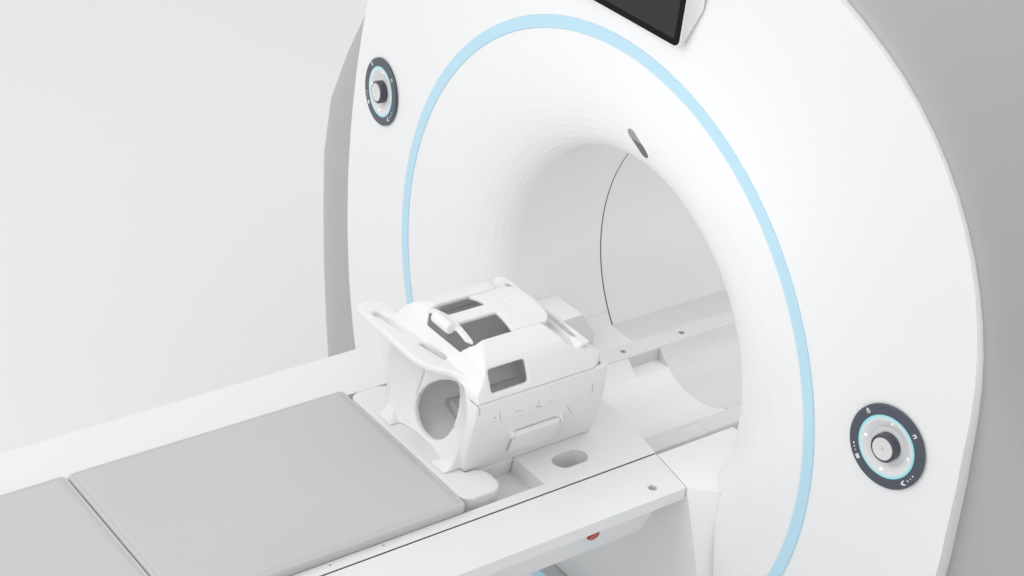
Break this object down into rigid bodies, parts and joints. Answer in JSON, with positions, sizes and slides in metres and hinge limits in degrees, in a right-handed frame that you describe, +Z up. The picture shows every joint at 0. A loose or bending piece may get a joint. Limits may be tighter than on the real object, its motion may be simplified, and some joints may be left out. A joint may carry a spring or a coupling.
{
  "type": "mri scanner",
  "caption": "Ring-shaped scanner with a lit, flared bore, domed white front and a patient table that lifts and slides a head coil into it.",
  "frame": {"origin": "on the floor, straight below the isocentre, midway between the front and rear ring planes", "axes": "+Z up, +Y along the bore from the table towards the rear, +X to the right as seen by someone looking from the table into the bore"},
  "size_m": [2.166, 4.05, 1.9269],
  "materials": {
    "cover": "smooth moulded white",
    "side_cover": "satin light grey",
    "light": "translucent, lit pale blue",
    "bore": "smooth light grey",
    "screw": "plain steel",
    "sensor": "smoked",
    "housing": "smooth white",
    "bezel": "black",
    "screen": "dark glass",
    "panel": "dark slate",
    "glow": "translucent, lit cyan",
    "dish": "smooth white",
    "knob": "fine ribbed grey",
    "cap": "satin light",
    "vessel": "painted steel",
    "former": "machined",
    "winding": "copper-stabilised wire",
    "coil_tube": "glass-fibre resin",
    "frame": "painted steel",
    "steel": "painted steel",
    "bright_steel": "machined steel",
    "table": "smooth white",
    "red_button": "red",
    "tabletop": "smooth white laminate",
    "mattress": "soft coated fabric",
    "coil": "satin white"
  },
  "bodies": {
    "gantry": {"front_cover": "cover", "front_flare": "cover", "rear_cover": "cover", "rear_flare": "cover", "dock_cover": "cover", "side_cover_left": "side_cover", "side_cover_right": "side_cover", "light_ring": "light", "bore_liner": "bore", "bore_bridge": "bore", "bore_rail_left": "bore", "bore_rail_right": "bore", "rail_latch": "bore", "rail_screws": "screw", "sensor_window": "sensor", "display_housing": "housing", "display_bezel": "bezel", "display_glass": "screen", "panel_ring_left": "panel", "panel_ring_right": "panel", "panel_glow_left": "glow", "panel_glow_right": "glow", "panel_dish_left": "dish", "panel_dish_right": "dish", "magnet_vessel": "vessel", "cold_head": "vessel", "winding_former": "former", "windings": "winding", "gradient_coil": "coil_tube", "body_coil": "coil_tube", "magnet_feet": "frame", "front_frame": "frame", "rear_frame": "frame", "floor_duct": "steel", "table_plate": "steel", "lower_skirt": "table", "lift_cylinders": "steel"},
    "table": {"upper_skirt": "table", "lift_rams": "bright_steel", "table_body": "table", "table_foot_cap": "table", "drive_motor": "steel"},
    "top": {"tabletop": "tabletop", "drive_rack": "bright_steel", "mattress_head": "mattress", "mattress_foot": "mattress", "coil_base": "coil", "coil_lower": "coil", "coil_upper": "coil", "mirror_bridge": "coil", "head_pad": "mattress"},
    "pinion": {"drive_pinion": "bright_steel"},
    "stop_left": {"stop_button_left": "red_button"},
    "stop_right": {"stop_button_right": "red_button"},
    "lever_left": {"coil_lever_left": "coil"},
    "lever_right": {"coil_lever_right": "coil"},
    "knob_left": {"knob_left": "knob"},
    "knob_right": {"knob_right": "knob"},
    "cap_left": {"knob_cap_left": "cap"},
    "cap_right": {"knob_cap_right": "cap"}
  },
  "joints": [
    {"name": "table_lift", "type": "slide", "parent": "gantry", "child": "table", "axis": [0, 0, 1], "range_m": [-0.3, 0]},
    {"name": "tabletop_slide", "type": "slide", "parent": "table", "child": "top", "axis": [0, 1, 0], "range_m": [0, 1.45]},
    {"name": "pinion_spin", "type": "hinge", "parent": "table", "child": "pinion", "pos_m": [0, -1.254, 0.7335], "axis": [1, 0, 0], "range_deg": [-1850, 5]},
    {"name": "stop_press_left", "type": "slide", "parent": "table", "child": "stop_left", "axis": [0.9249, 0, 0.3801], "range_m": [0, 0.004], "stiffness_N_per_m": 900, "springref_m": -0.002},
    {"name": "stop_press_right", "type": "slide", "parent": "table", "child": "stop_right", "axis": [-0.9249, 0, 0.3801], "range_m": [0, 0.004], "stiffness_N_per_m": 900, "springref_m": -0.002},
    {"name": "knob_turn_left", "type": "hinge", "parent": "gantry", "child": "knob_left", "pos_m": [-0.736, -0.78646, 1.178], "axis": [-0.1172, -0.9926, 0.0315], "range_deg": [-140, 140]},
    {"name": "cap_press_left", "type": "slide", "parent": "knob_left", "child": "cap_left", "axis": [0.1172, 0.9926, -0.0315], "range_m": [0, 0.002], "stiffness_N_per_m": 600, "springref_m": -0.001},
    {"name": "knob_turn_right", "type": "hinge", "parent": "gantry", "child": "knob_right", "pos_m": [0.736, -0.78646, 1.178], "axis": [0.1172, -0.9926, 0.0315], "range_deg": [-140, 140]},
    {"name": "cap_press_right", "type": "slide", "parent": "knob_right", "child": "cap_right", "axis": [-0.1172, 0.9926, -0.0315], "range_m": [0, 0.002], "stiffness_N_per_m": 600, "springref_m": -0.001},
    {"name": "latch_swing_left", "type": "hinge", "parent": "top", "child": "lever_left", "pos_m": [-0.1395, -1.007, 0.926], "axis": [0, 1, 0], "range_deg": [0, 40]},
    {"name": "latch_swing_right", "type": "hinge", "parent": "top", "child": "lever_right", "pos_m": [0.1395, -1.007, 0.926], "axis": [0, -1, 0], "range_deg": [0, 40]}
  ],
  "couplings": [
    {"joint": "pinion_spin", "follows": "tabletop_slide", "rad_per_m": -22.222}
  ]
}
